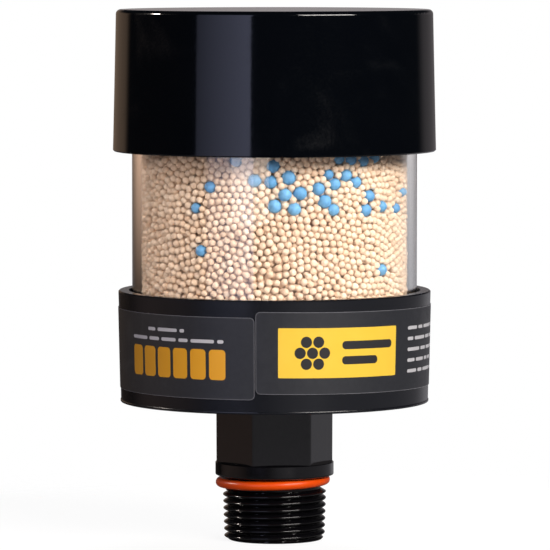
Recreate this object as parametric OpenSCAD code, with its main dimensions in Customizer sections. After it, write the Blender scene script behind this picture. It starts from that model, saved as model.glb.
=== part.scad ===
// Silica gel breather: a clear tube of desiccant beads between a cap and a base cup, on a threaded stud.
// Air enters through the stud, rises in the standpipe, and passes down through the beads to vents in
// the cup's floor. Units are millimetres, the axis is Z, and the stud's flat end is at Z = 0.

/* [Clear tube] */
// Outside diameter of the clear tube
tube_d = 92.2; // [84:0.1:104]
// Wall of the clear tube
tube_wall = 2.8; // [2:0.1:4]
// Height of clear tube that shows between the cup and the cap
window_h = 45; // [30:0.5:60]

/* [Cap] */
// Height of the cap over all
cap_h = 45.7; // [40:0.1:60]
// Wall of the cap's skirt
cap_wall = 3.4; // [2:0.1:5]
// Thickness of the cap's top
cap_top_t = 2.8; // [2:0.1:5]
// Gap between the tube and the skirt at the top of the cap
cap_gap = 1.7; // [1:0.05:4]
// Radius of the cap's upper edge
cap_edge_r = 1.5; // [0.5:0.1:2.5]
// Depth of the ring that locates the tube's upper end from inside
socket_depth = 10; // [5:0.5:14]
// Number of ribs that centre the tube in the skirt
centring_ribs = 12; // [4:1:24]
// Length of a centring rib
centring_rib_h = 20; // [8:0.5:30]
// Number of ribs under the top that hold the foam down
hold_down_ribs = 8; // [4:1:12]
// Thickness of a moulded rib or ring
rib_t = 2; // [1.2:0.1:3]

/* [Base cup] */
// Height of the cup over all
cup_h = 36.1; // [30:0.1:60]
// Wall of the cup
cup_wall = 3.4; // [2:0.1:5]
// Thickness of the cup's floor
cup_floor_t = 3; // [2:0.1:6]
// Gap between the tube and the cup at the floor
cup_gap = 0.25; // [0.1:0.05:1]
// Radius of the cup's lower edge
cup_edge_r = 1; // [0.5:0.1:2]
// Bevel at the rims of the cup and the cap
rim_bevel = 0.4; // [0.2:0.05:0.8]
// Draft of the moulded walls in degrees
draft = 1.3; // [0.5:0.1:2]
// Number of air vents in the floor
vent_count = 16; // [6:1:24]
// Diameter of an air vent
vent_d = 4; // [2:0.1:6]

/* [Stud] */
// Major diameter of the taper thread at its small end
thread_d = 32.6; // [30:0.1:40]
// Length of the full thread
thread_len = 15.6; // [12:0.1:25]
// Diameter gained along the thread for each millimetre of length
thread_taper = 0.0625; // [0:0.0125:0.1]
// Bevel at the thread's small end
thread_bevel = 1; // [0.5:0.1:1.5]
// How far the neck lies below the thread's major radius
neck_relief = 1.4; // [1:0.1:2]
// Length of neck beyond what the O-ring takes up
neck_spare = 2.35; // [1.2:0.05:5]
// Thickness of the flange
flange_h = 4.35; // [2.5:0.05:8]
// How far the flange reaches beyond the O-ring
flange_lip = 0.65; // [0.2:0.05:4]
// Bevel under the flange, across the axis
flange_bevel_r = 0.4; // [0.2:0.1:1.4]
// Bevel under the flange, along the axis
flange_bevel_h = 0.3; // [0.2:0.1:2]
// Width of the hexagon across its flats
hex_af = 33; // [32:0.5:40]
// Height of the hexagon
hex_h = 19.7; // [12:0.1:30]
// Direction of one of the hexagon's corners
hex_turn = 247.8; // [0:0.1:360]
// Bevel of the hexagon's corners
hex_corner_bevel = 0.15; // [0.1:0.05:1]
// Diameter of the air bore through the stud and the standpipe
bore_d = 20.9; // [14:0.1:22]
// Wall of the spigot that passes through the cup's floor
spigot_wall = 1.8; // [1.2:0.1:3]
// Thickness of stud left under the standpipe's socket, above the hexagon's top
socket_floor_t = 1; // [0.5:0.1:2]

/* [O-ring] */
// Diameter of the O-ring's section
ring_section = 3; // [2:0.1:4]
// Slack between the O-ring and the neck, on the radius
ring_slack = 0.65; // [0.2:0.05:1]
// How far the O-ring sits off centre, towards -X
ring_shift = 0.55; // [0:0.05:0.6]
// How far the O-ring is tipped, in degrees, with the -X side low
ring_tilt = 1.4; // [0:0.1:2]

/* [Filling] */
// Wall of the standpipe
pipe_wall = 2.9; // [1.5:0.1:4]
// Space between the standpipe's mouth and the cap's top
pipe_mouth_gap = 9; // [4:0.5:14]
// Thickness of a foam pad
foam_t = 8; // [4:0.5:15]
// Thickness of a filter disc
filter_t = 3; // [1.5:0.1:6]
// Space between the upper foam pad and the cap's top
head_h = 17; // [12:0.5:25]
// Distance between neighbouring bumps in the bed's wall, drawn coarser than the beads
bead_pitch = 3.1; // [2.9:0.1:5]
// Depth of the hollows between the beads at the wall
bead_relief = 1.2; // [0.6:0.1:1.5]
// Diameter of a common indicator bead
indicator_d = 3.8; // [3:0.1:4.6]

/* [Label] */
// Height of the label
label_h = 26; // [15:0.1:27]
// Thickness of the label
label_t = 0.15; // [0.1:0.05:0.5]
// Distance from the cup's rim down to the label at the start of its wrap
label_drop = 3.5; // [2:0.1:5]
// How much lower the end of the wrap sits
label_skew = 1.9; // [0:0.1:4]
// Direction of the seam where the label's ends meet
label_seam = 263; // [0:1:360]
// Space between the label's ends
label_seam_gap = 0.4; // [0.2:0.1:3]
// Radius of the label's corners
label_corner_r = 1.5; // [0.5:0.1:4]

/* [Hidden] */
$fn = 96;

// Clearance of moulded pieces that slide into one another
fit = 0.1;
// Clearance round soft pieces and beads
soft_gap = 0.2;
// Glue line under the label
glue = 0.05;
// Overlap that lets a cut pass cleanly through a face
past = 1;
// How far a rib is rooted in the wall that carries it
root = 1;
// How far the hollow for an indicator bead reaches beyond it, as a share of the beads' distance
hollow_reach = 0.75;
// Clearance between the O-ring and the flange
ring_clear = 0.05;

front = 270;
slope = tan(draft);
tube_r = tube_d / 2;
tube_in_r = tube_r - tube_wall;
bore_r = bore_d / 2;
pipe_r = bore_r + pipe_wall;
spigot_r = pipe_r + fit + spigot_wall;

neck_r = thread_d / 2 - neck_relief;
ring_in_r = neck_r + ring_slack;
ring_major_r = ring_in_r + ring_section / 2;
flange_r = ring_in_r + ring_section + flange_lip;
neck_len = ring_section + neck_spare;

flange_z = thread_len + neck_len;
hex_z = flange_z + flange_h;
cup_z = hex_z + hex_h;
floor_z = cup_z + cup_floor_t;
cup_rim_z = cup_z + cup_h;
cap_rim_z = cup_rim_z + window_h;
top_z = cap_rim_z + cap_h;
under_z = top_z - cap_top_t;
pipe_z = cup_z + socket_floor_t;
spigot_z = floor_z + foam_t;

bed_z = floor_z + foam_t + filter_t;
bed_top_z = under_z - head_h - foam_t - filter_t;
bed_r = tube_in_r - soft_gap;
bed_in_r = pipe_r + soft_gap;
bead_columns = floor(2 * PI * bed_r / bead_pitch);
bead_rows = floor(window_h / (bead_pitch * sqrt(3) / 2)) + 1;
bead_row_pitch = window_h / (bead_rows - 1);

// Indicator beads: turn from the front in degrees, share of the window's height, share of their diameter
INDICATORS = [
    [-35.5, 0.63, 0.85], [-33, 0.33, 0.95], [-28.5, 0.78, 0.95], [-16.5, 0.97, 1], [-8.5, 0.83, 1.05],
    [-1.5, 0.82, 1.05], [-0.5, 0.93, 1.05], [0, 0.65, 1.1], [4.5, 0.73, 1.05], [6, 0.85, 1.15],
    [8.5, 0.63, 1.05], [11, 0.74, 1.1], [19, 0.77, 1.05], [22, 0.68, 1.1], [23.5, 0.87, 0.85],
    [26, 0.62, 0.95], [26.5, 0.8, 0.95], [28.5, 0.98, 0.95], [32, 0.86, 1], [34.5, 0.97, 0.95],
    [37, 0.81, 0.95], [41, 0.96, 0.95], [42.5, 0.61, 1.05], [44.5, 0.71, 1], [47.5, 0.98, 0.9],
    [52.5, 0.18, 1], [52.5, 0.63, 0.95], [63, 0.61, 0.9], [70.5, 0.72, 0.85], [85, 0.95, 1],
    [105, 0.5, 1], [128, 0.8, 1.05], [150, 0.3, 1], [176, 0.66, 1.1], [200, 0.85, 1],
    [222, 0.42, 1], [247, 0.7, 1.05]
];

// Radius of the cap's and the cup's outer walls at a height
function cap_r(z) = tube_r + cap_gap + cap_wall + (top_z - z) * slope;
function cup_r(z) = tube_r + cup_gap + cup_wall + (z - cup_z) * slope;

// A point on a cylinder, turned from the +X direction
function at(r, turn, z) = [r * cos(turn), r * sin(turn), z];

// Two triangles for each cell of a closed ring of points that starts at index a below and b above
function band(a, b, n) = [
    for (j = [0:n - 1]) let (k = (j + 1) % n) each [[a + j, b + j, b + k], [a + j, b + k, a + k]]
];

module ring(r_out, r_in, z0, z1) {
    difference() {
        translate([0, 0, z0]) cylinder(r = r_out, h = z1 - z0);
        translate([0, 0, z0 - past]) cylinder(r = r_in, h = z1 - z0 + 2 * past);
    }
}

// Half section of a drafted wall's outside with a rounded edge: the wide rim is at z = 0, pointing down
module drafted_outline(rim_r, height, edge_r) {
    centre = [rim_r - (height - edge_r) * slope - edge_r / cos(draft), height - edge_r];
    polygon([
        [0, 0],
        [rim_r - rim_bevel, 0],
        [rim_r, rim_bevel],
        centre + edge_r * [cos(draft), sin(draft)],
        centre + [0, edge_r],
        [0, height]
    ]);
    translate(centre) circle(r = edge_r);
}

// Half section of the space inside a drafted wall, open at the rim
module drafted_space(rim_r, depth) {
    polygon([[0, -past], [rim_r + past * slope, -past], [rim_r - depth * slope, depth], [0, depth]]);
}

module drafted_shell(rim_r, height, edge_r, wall, end_t) {
    rotate_extrude() difference() {
        drafted_outline(rim_r, height, edge_r);
        drafted_space(rim_r - wall, height - end_t);
    }
}

module top_cap() {
    skirt_in_r = cap_r(top_z) - cap_wall;
    ring_r = tube_in_r - fit;
    color("#14171c") union() {
        translate([0, 0, cap_rim_z]) drafted_shell(cap_r(cap_rim_z), cap_h, cap_edge_r, cap_wall, cap_top_t);
        ring(ring_r, ring_r - rib_t, under_z - socket_depth, under_z + root);
        for (i = [0:centring_ribs - 1]) rotate(i * 360 / centring_ribs)
            translate([tube_r + fit, -rib_t / 2, under_z - centring_rib_h])
                cube([skirt_in_r - tube_r + root, rib_t, centring_rib_h + root]);
        for (i = [0:hold_down_ribs - 1]) rotate((i + 0.5) * 360 / hold_down_ribs)
            translate([pipe_r + rib_t, -rib_t / 2, under_z - head_h])
                cube([ring_r - rib_t - pipe_r - rib_t + root, rib_t, head_h + root]);
    }
}

module sight_tube() {
    color("#dfe6ea", 0.35) ring(tube_r, tube_in_r, floor_z, under_z);
}

module base_cup() {
    vent_circle_r = (spigot_r + tube_in_r) / 2;
    color("#1a1c21") difference() {
        translate([0, 0, cup_rim_z]) mirror([0, 0, 1])
            drafted_shell(cup_r(cup_rim_z), cup_h, cup_edge_r, cup_wall, cup_floor_t);
        translate([0, 0, cup_z - past]) cylinder(r = spigot_r + fit, h = cup_floor_t + 2 * past);
        for (i = [0:vent_count - 1]) rotate(i * 360 / vent_count)
            translate([vent_circle_r, 0, cup_z - past]) cylinder(d = vent_d, h = cup_floor_t + 2 * past);
    }
}

// A wrap that starts at the seam, runs once round the cup and ends a little lower than it began
module label() {
    start = label_seam_gap / 2 / cup_r(cup_rim_z) * 180 / PI;
    span = 360 - 2 * start;
    corner_turn = label_corner_r / cup_r(cup_rim_z) * 180 / PI;
    corner_steps = 4;
    steps = 96;
    skew_turn = 270;
    corner = [for (i = [0:corner_steps - 1]) corner_turn * (1 - cos(90 * i / corner_steps))];
    middle = [for (i = [0:steps]) corner_turn + (span - 2 * corner_turn) * i / steps];
    turns = concat(corner, middle, [for (i = [corner_steps - 1:-1:0]) span - corner[i]]);
    drop = function (turn) label_drop + label_skew * sin(90 * min(turn / skew_turn, 1));
    cut = function (turn) let (s = min(turn, span - turn, corner_turn) / corner_turn)
        label_corner_r * (1 - sqrt(1 - (1 - s) * (1 - s)));
    points = [
        for (turn = turns)
            let (
                z1 = cup_rim_z - drop(turn) - cut(turn),
                z0 = cup_rim_z - drop(turn) - label_h + cut(turn),
                a = label_seam + start + turn
            )
            each [
                at(cup_r(z0) + glue, a, z0),
                at(cup_r(z0) + glue + label_t, a, z0),
                at(cup_r(z1) + glue + label_t, a, z1),
                at(cup_r(z1) + glue, a, z1)
            ]
    ];
    last = 4 * (len(turns) - 1);
    sides = [for (i = [0:len(turns) - 2]) each band(4 * i, 4 * i + 4, 4)];
    color("#2c2d32") polyhedron(points, concat([[0, 1, 2], [0, 2, 3]], sides,
        [[last + 2, last + 1, last], [last + 3, last + 2, last]]));
}

module threaded_stud() {
    thread_top_r = thread_d / 2 + thread_len * thread_taper / 2;
    hex_r = hex_af / sqrt(3);
    color("#1d1e21") difference() {
        union() {
            rotate_extrude() polygon([
                [0, 0],
                [thread_d / 2 - thread_bevel, 0],
                [thread_d / 2 + thread_bevel * thread_taper / 2, thread_bevel],
                [thread_top_r, thread_len],
                [neck_r, thread_len + (thread_top_r - neck_r) / sqrt(3)],
                [neck_r, flange_z],
                [flange_r - flange_bevel_r, flange_z],
                [flange_r, flange_z + flange_bevel_h],
                [flange_r, hex_z],
                [0, hex_z]
            ]);
            intersection() {
                translate([0, 0, hex_z]) rotate(hex_turn) cylinder(r = hex_r, h = hex_h, $fn = 6);
                translate([0, 0, hex_z]) cylinder(r = hex_r - hex_corner_bevel, h = hex_h);
            }
            translate([0, 0, cup_z]) cylinder(r = spigot_r, h = spigot_z - cup_z);
        }
        translate([0, 0, -past]) cylinder(r = bore_r, h = spigot_z + 2 * past);
        translate([0, 0, pipe_z]) cylinder(r = pipe_r + fit, h = spigot_z - pipe_z + past);
    }
}

module o_ring() {
    high_side = ring_major_r * sin(ring_tilt) + ring_section / 2;
    color("#e8500c") translate([-ring_shift, 0, flange_z - ring_clear - high_side]) rotate([0, -ring_tilt, 0])
        rotate_extrude() translate([ring_major_r, 0]) circle(d = ring_section);
}

module standpipe() {
    color("#d8d8d2") ring(pipe_r, bore_r, pipe_z, under_z - pipe_mouth_gap);
}

module bottom_foam_pad() {
    color("#3a3a3c") ring(tube_in_r - soft_gap, spigot_r + soft_gap, floor_z, floor_z + foam_t);
}

module bottom_filter_disc() {
    color("#f0efe8") ring(tube_in_r - soft_gap, pipe_r + soft_gap, floor_z + foam_t, bed_z);
}

module top_filter_disc() {
    color("#f0efe8") ring(tube_in_r - soft_gap, pipe_r + soft_gap, bed_top_z, bed_top_z + filter_t);
}

module top_foam_pad() {
    color("#3a3a3c") ring(tube_in_r - soft_gap, pipe_r + soft_gap, bed_top_z + filter_t, under_z - head_h);
}

function indicator_z(bead) = cup_rim_z + bead[1] * window_h;
function indicator_size(bead) = bead[2] * indicator_d;

// Depth of the bed's wall at a place: deep where an indicator bead lies, else as given
function wall_depth(turn, z, depth) = max([
    depth,
    for (bead = INDICATORS)
        let (across = bed_r * sin((turn - front - bead[0]) / 2) * 2, up = z - indicator_z(bead))
        if (norm([across, up]) < indicator_size(bead) / 2 + hollow_reach * bead_pitch)
            indicator_size(bead) + soft_gap
]);
function wall_point(turn, z, depth) = at(bed_r - wall_depth(turn, z, depth), turn, z);

// Beads stand out in staggered rows over the window, with a hollow between each three neighbours
module desiccant_bed() {
    n = bead_columns;
    step = 360 / n;
    row_turn = function (i) (i % 2) * step / 2;
    row_z = function (i) cup_rim_z + i * bead_row_pitch;
    foot = [for (j = [0:n - 1]) at(bed_r - bead_relief, j * step, bed_z)];
    beads = [
        for (i = [0:bead_rows - 1], j = [0:n - 1]) wall_point(row_turn(i) + j * step, row_z(i), 0)
    ];
    hollows = [
        for (i = [0:bead_rows - 2], side = [1, 2], j = [0:n - 1])
            wall_point(
                row_turn(i) + j * step + (side == 1 ? step / 2 : row_turn(i) > 0 ? 0 : step),
                row_z(i) + side * bead_row_pitch / 3,
                bead_relief
            )
    ];
    last_turn = row_turn(bead_rows - 1);
    head = [for (j = [0:n - 1]) at(bed_r - bead_relief, last_turn + j * step, bed_top_z)];
    inner_head = [for (j = [0:n - 1]) at(bed_in_r, last_turn + j * step, bed_top_z)];
    inner_foot = [for (j = [0:n - 1]) at(bed_in_r, j * step, bed_z)];

    bead_0 = n;
    hollow_0 = bead_0 + n * bead_rows;
    head_0 = hollow_0 + 2 * n * (bead_rows - 1);
    inner_head_0 = head_0 + n;
    inner_foot_0 = inner_head_0 + n;
    cells = [
        for (i = [0:bead_rows - 2], j = [0:n - 1])
            let (
                odd = i % 2,
                a = bead_0 + i * n + j,
                b = bead_0 + i * n + (j + 1) % n,
                over = bead_0 + (i + 1) * n + (j + odd) % n,
                next = bead_0 + (i + 1) * n + (j + odd + 1) % n,
                low = hollow_0 + 2 * i * n + j,
                lead = odd == 0 ? b : a,
                left = odd == 0 ? over : bead_0 + (i + 1) * n + j,
                high = hollow_0 + (2 * i + 1) * n + j
            )
            each [
                [a, low, b], [b, low, over], [over, low, a],
                [lead, high, odd == 0 ? next : over], [odd == 0 ? next : over, high, left], [left, high, lead]
            ]
    ];
    color("#ecd8b8") polyhedron(
        concat(foot, beads, hollows, head, inner_head, inner_foot),
        concat(
            band(0, bead_0, n),
            cells,
            band(bead_0 + (bead_rows - 1) * n, head_0, n),
            band(head_0, inner_head_0, n),
            band(inner_head_0, inner_foot_0, n),
            band(inner_foot_0, 0, n)
        )
    );
}

module indicator_beads() {
    color("#4f93cc") for (bead = INDICATORS)
        translate(at(bed_r - indicator_size(bead) / 2, front + bead[0], indicator_z(bead)))
            sphere(d = indicator_size(bead));
}

top_cap();
sight_tube();
base_cup();
label();
threaded_stud();
o_ring();
standpipe();
bottom_foam_pad();
bottom_filter_disc();
desiccant_bed();
indicator_beads();
top_filter_disc();
top_foam_pad();
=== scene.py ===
"""Looks of the silica gel breather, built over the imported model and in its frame.

Sizes are in millimetres and become metres in the meshes. Only the studio's sizes are in metres.
"""

import logging
import math
from dataclasses import dataclass, replace
from enum import Enum

import bmesh
import bpy
import numpy as np
from bpy.types import Material, Node, NodeSocket, NodeTree, Object
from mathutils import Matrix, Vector
from numpy.random import Generator, default_rng

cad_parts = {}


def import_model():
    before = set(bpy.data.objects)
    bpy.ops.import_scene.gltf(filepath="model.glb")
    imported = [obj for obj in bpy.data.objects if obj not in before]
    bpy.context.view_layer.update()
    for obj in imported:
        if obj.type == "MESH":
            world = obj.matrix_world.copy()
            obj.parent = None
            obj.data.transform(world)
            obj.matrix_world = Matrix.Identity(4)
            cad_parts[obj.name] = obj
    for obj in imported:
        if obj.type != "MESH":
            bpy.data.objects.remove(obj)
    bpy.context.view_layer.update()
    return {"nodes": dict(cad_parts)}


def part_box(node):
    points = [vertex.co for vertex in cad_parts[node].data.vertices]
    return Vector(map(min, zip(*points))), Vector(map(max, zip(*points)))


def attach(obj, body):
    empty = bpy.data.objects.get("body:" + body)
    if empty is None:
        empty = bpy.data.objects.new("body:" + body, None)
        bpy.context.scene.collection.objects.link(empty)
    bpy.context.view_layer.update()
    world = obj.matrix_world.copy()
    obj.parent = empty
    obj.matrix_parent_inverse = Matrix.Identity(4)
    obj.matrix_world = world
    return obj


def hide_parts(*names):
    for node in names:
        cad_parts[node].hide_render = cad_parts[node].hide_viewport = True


MM = 0.001
BODY = "root"
SEED = 7
FRONT = -math.pi / 2
DRAFT_SLOPE = math.tan(math.radians(1.3))
CLEARANCE = 0.2
NO_SHARP_EDGE = 180.0

# A Mix node's sockets go by place, because its numbers and its colours have inputs of the same names.
SHARE = 0
NUMBER_A = 2
NUMBER_B = 3
COLOUR_A = 6
COLOUR_B = 7
COLOUR_OUT = 2

log = logging.getLogger("breather")

Span = tuple[float, float]
Stops = tuple[tuple[float, str], ...]
Inputs = dict[str | int, object]
Links = dict[str | int, NodeSocket]


class Slot(Enum):
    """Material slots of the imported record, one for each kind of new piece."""

    CUP = "cup_plastic"
    LABEL = "label_film"
    STUD = "stud_nylon"
    FOAM = "foam"
    FELT = "filter_felt"
    BEADS = "silica_beads"
    BLUE_BEADS = "blue_beads"


def linear(hex_colour: str) -> tuple[float, float, float, float]:
    """Turn an sRGB hex colour into a linear one.

    Args:
        hex_colour: Six hex digits after a hash sign.

    Returns:
        Red, green, blue and an alpha of one.
    """
    digits = hex_colour.lstrip("#")
    channels = [int(digits[i:i + 2], 16) / 255 for i in (0, 2, 4)]
    red, green, blue = [c / 12.92 if c <= 0.04045 else ((c + 0.055) / 1.055) ** 2.4 for c in channels]
    return red, green, blue, 1.0


def per_metre(size_mm: float) -> float:
    """Scale of a texture whose features are size_mm apart, in coordinates that are metres."""
    return 1 / (size_mm * MM)


def feed(tree: NodeTree, node: Node, links: Links) -> None:
    """Link sockets to a node's inputs, by name or index."""
    for key, socket in links.items():
        tree.links.new(socket, node.inputs[key])


def add_node(
    tree: NodeTree,
    kind: str,
    values: Inputs | None = None,
    links: Links | None = None,
    **settings: object,
) -> Node:
    """Add one shader node with its settings and links.

    Args:
        tree: The node tree that gets the node.
        kind: The node's type without its ShaderNode prefix.
        values: Constant values of inputs, by name or index.
        links: Sockets that feed inputs, by name or index.
        settings: Properties of the node itself.

    Returns:
        The new node.
    """
    node = tree.nodes.new("ShaderNode" + kind)
    for key, setting in settings.items():
        setattr(node, key, setting)
    for key, value in (values or {}).items():
        node.inputs[key].default_value = value
    feed(tree, node, links or {})
    return node


def start_material(name: str, values: Inputs) -> tuple[Material, Node, NodeSocket]:
    """Start a material with one Principled shader.

    Args:
        name: The real material and how its surface was made.
        values: Constant inputs of the shader.

    Returns:
        The material, its shader node and the place on the object that its patterns follow.
    """
    material = bpy.data.materials.new(name)
    material.use_nodes = True
    tree = material.node_tree
    tree.nodes.clear()
    shader = add_node(tree, "BsdfPrincipled", values)
    add_node(tree, "OutputMaterial", links={"Surface": shader.outputs["BSDF"]})
    return material, shader, add_node(tree, "TexCoord").outputs["Object"]


@dataclass(frozen=True)
class MouldedPlastic:
    """A moulded plastic or rubber, whose skin copies the tool: slow waves, fine grain and uneven gloss."""

    name: str
    colour: str
    worn_colour: str
    roughness: float
    roughness_spread: float
    ior: float
    wave_mm: float
    wave_depth_mm: float
    grain_mm: float
    grain_depth_mm: float
    grain_span: Span = (0.3, 0.7)
    smudge_mm: float = 30.0
    smudge: float = 0.0
    smudge_span: Span = (0.5, 0.72)
    upright_span: Span = (0.7, 0.2)
    wave_detail: float = 1.0
    grain_detail: float = 3.0
    smudge_detail: float = 5.0
    smudge_distortion: float = 1.2

    def material(self) -> Material:
        """Build the finish.

        Returns:
            A material with waves and grain in its normal, and with grain and touch marks in its gloss.
        """
        material, shader, where = start_material(self.name, {"IOR": self.ior})
        tree = material.node_tree
        wave, grain, touch = [
            add_node(
                tree, "TexNoise", {"Scale": per_metre(size), "Detail": detail, "Distortion": distortion},
                {"Vector": where},
            ).outputs[0]
            for size, detail, distortion in (
                (self.wave_mm, self.wave_detail, 0.0),
                (self.grain_mm, self.grain_detail, 0.0),
                (self.smudge_mm, self.smudge_detail, self.smudge_distortion),
            )
        ]
        gloss = add_node(
            tree, "MapRange",
            {"From Min": self.grain_span[0], "To Min": self.roughness - self.roughness_spread,
             "From Max": self.grain_span[1], "To Max": self.roughness + self.roughness_spread},
            {"Value": grain},
        )
        normal = add_node(tree, "NewGeometry").outputs["Normal"]
        facing = add_node(tree, "SeparateXYZ", links={"Vector": normal})
        upright = add_node(
            tree, "MapRange",
            {"From Min": self.upright_span[0], "From Max": self.upright_span[1], "To Max": self.smudge},
            {"Value": facing.outputs["Z"]},
        )
        touched = add_node(
            tree, "MapRange", {"From Min": self.smudge_span[0], "From Max": self.smudge_span[1]},
            {"Value": touch, "To Max": upright.outputs[0]}, interpolation_type="SMOOTHSTEP",
        )
        dulled = add_node(tree, "Math", links={0: gloss.outputs[0], 1: touched.outputs[0]}, operation="ADD")
        tone = add_node(
            tree, "Mix", {COLOUR_A: linear(self.colour), COLOUR_B: linear(self.worn_colour)}, {SHARE: wave},
            data_type="RGBA",
        )
        waves = add_node(
            tree, "Bump", {"Strength": 1.0, "Distance": self.wave_depth_mm * MM}, {"Height": wave}
        )
        skin = add_node(
            tree, "Bump", {"Strength": 1.0, "Distance": self.grain_depth_mm * MM},
            {"Height": grain, "Normal": waves.outputs[0]},
        )
        feed(tree, shader, {
            "Base Color": tone.outputs[COLOUR_OUT], "Roughness": dulled.outputs[0], "Normal": skin.outputs[0],
        })
        return material


@dataclass(frozen=True)
class ClearTubing:
    """A clear moulded tube: it bends what lies behind it, and carries faint flow lines along its length."""

    name: str
    colour: str
    ior: float
    line_mm: float
    line_length_mm: float
    line_depth_mm: float
    line_detail: float = 1.0

    def material(self) -> Material:
        """Build the finish.

        Returns:
            A clear material with flow lines in its normal.
        """
        material, shader, where = start_material(
            self.name,
            {"Base Color": linear(self.colour), "IOR": self.ior, "Roughness": 0.0,
             "Transmission Weight": 1.0},
        )
        tree = material.node_tree
        across = per_metre(self.line_mm)
        drawn = add_node(
            tree, "Mapping", {"Scale": (across, across, per_metre(self.line_length_mm))}, {"Vector": where}
        )
        lines = add_node(
            tree, "TexNoise", {"Scale": 1.0, "Detail": self.line_detail}, {"Vector": drawn.outputs[0]}
        )
        skin = add_node(
            tree, "Bump", {"Strength": 1.0, "Distance": self.line_depth_mm * MM}, {"Height": lines.outputs[0]}
        )
        feed(tree, shader, {"Normal": skin.outputs[0]})
        return material


@dataclass(frozen=True)
class GelBeads:
    """Rolled beads of silica gel, each of its own tone, clouded within."""

    name: str
    pale: str
    deep: str
    roughness: float
    ior: float
    cloud_mm: float
    cloud_share: float
    cloud_detail: float = 2.0

    def material(self) -> Material:
        """Build the finish.

        Returns:
            A material whose tone differs from bead to bead and clouds a little within each.
        """
        material, shader, where = start_material(self.name, {"IOR": self.ior, "Roughness": self.roughness})
        tree = material.node_tree
        cloud = add_node(
            tree, "TexNoise", {"Scale": per_metre(self.cloud_mm), "Detail": self.cloud_detail},
            {"Vector": where},
        )
        bead = add_node(tree, "NewGeometry").outputs["Random Per Island"]
        share = add_node(
            tree, "Mix", {SHARE: self.cloud_share}, {NUMBER_A: bead, NUMBER_B: cloud.outputs[0]},
            data_type="FLOAT",
        )
        tone = add_node(
            tree, "Mix", {COLOUR_A: linear(self.pale), COLOUR_B: linear(self.deep)},
            {SHARE: share.outputs[0]}, data_type="RGBA",
        )
        feed(tree, shader, {"Base Color": tone.outputs[COLOUR_OUT]})
        return material


@dataclass(frozen=True)
class CellSurface:
    """A surface of rounded cells, domed as packed beads are or hollow as the pores of foam and felt are."""

    name: str
    # Colours at the middle and at the border of each cell. For domed cells the darker border is painted shade
    # in the gaps; for hollow cells the darker middle is painted shade in the pores.
    middle: str
    border: str
    cell_mm: float
    depth_mm: float
    domed: bool
    roughness: float
    ior: float
    sheen: float = 0.0

    def material(self) -> Material:
        """Build the finish.

        Returns:
            A dull material with its cells in its normal, and painted shade in its colour: darker in the gaps
            between domed cells and in the hollows of the others.
        """
        material, shader, where = start_material(
            self.name, {"IOR": self.ior, "Roughness": self.roughness, "Sheen Weight": self.sheen}
        )
        tree = material.node_tree
        cell = add_node(tree, "TexVoronoi", {"Scale": per_metre(self.cell_mm)}, {"Vector": where})
        from_middle = cell.outputs["Distance"]
        # Painted shade: the colour runs from the middle's to the border's with the distance from the cell's
        # middle.
        tone = add_node(
            tree, "Mix", {COLOUR_A: linear(self.middle), COLOUR_B: linear(self.border)}, {SHARE: from_middle},
            data_type="RGBA",
        )
        relief = add_node(
            tree, "Bump", {"Strength": 1.0, "Distance": self.depth_mm * MM}, {"Height": from_middle},
            invert=self.domed,
        )
        feed(tree, shader, {"Base Color": tone.outputs[COLOUR_OUT], "Normal": relief.outputs[0]})
        return material


def printed_ink(shade: str, colour: str, thick_colour: str) -> MouldedPlastic:
    """A screen-printed ink under the label's varnish: a flat colour with a slightly uneven film.

    Args:
        shade: The colour's plain name.
        colour: The ink where it lies thin.
        thick_colour: The ink where it lies thick.

    Returns:
        The finish.
    """
    return MouldedPlastic(
        f"screen_printed_{shade}_ink", colour, thick_colour, roughness=0.38, roughness_spread=0.04, ior=1.5,
        wave_mm=6, wave_depth_mm=0.006, grain_mm=0.35, grain_depth_mm=0.003,
    )


# Gloss ABS from a polished tool: near black, mirror-like, with the faint waves of a moulded wall.
CAP_ABS = MouldedPlastic(
    "moulded_gloss_abs", "#030509", "#05070b", roughness=0.08, roughness_spread=0.03, ior=1.53,
    wave_mm=11, wave_depth_mm=0.012, grain_mm=0.7, grain_depth_mm=0.0006, smudge_mm=30, smudge=0.11,
)

# Half-gloss ABS from a worn tool: black, with softer reflections than the cap's.
CUP_ABS = MouldedPlastic(
    "moulded_half_gloss_abs", "#101217", "#15171c", roughness=0.22, roughness_spread=0.04, ior=1.53,
    wave_mm=9, wave_depth_mm=0.01, grain_mm=0.5, grain_depth_mm=0.0006,
)

# Glass-filled nylon, moulded: dull black with glass fibres near the skin, drawn coarser than they are.
STUD_NYLON = MouldedPlastic(
    "moulded_glass_filled_nylon", "#070709", "#0b0a0d", roughness=0.13, roughness_spread=0.05, ior=1.56,
    wave_mm=5, wave_depth_mm=0.012, grain_mm=0.45, grain_depth_mm=0.0015,
)

# Silicone rubber, moulded: a strong orange with a soft even shine.
SEAL_SILICONE = MouldedPlastic(
    "moulded_silicone_rubber", "#f25305", "#ea4c03", roughness=0.34, roughness_spread=0.06, ior=1.41,
    wave_mm=4, wave_depth_mm=0.02, grain_mm=0.4, grain_depth_mm=0.006,
)

# Rigid PVC, extruded: an off-white pipe with a low shine.
PIPE_PVC = MouldedPlastic(
    "extruded_white_pvc", "#d9d8d0", "#d0cec4", roughness=0.4, roughness_spread=0.05, ior=1.53,
    wave_mm=8, wave_depth_mm=0.02, grain_mm=0.5, grain_depth_mm=0.004,
)

# Vinyl film, die-cut: coloured pale grey so that its bare edge round the print shows as a thin pale line, a
# painted highlight along the label's edges.
LABEL_FILM_PAINTED_EDGE_HIGHLIGHT = MouldedPlastic(
    "cut_vinyl_film_painted_edge_highlight", "#64656a", "#7c7d82", roughness=0.3, roughness_spread=0.04, ior=1.54,
    wave_mm=7, wave_depth_mm=0.01, grain_mm=0.4, grain_depth_mm=0.002,
)

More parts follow.
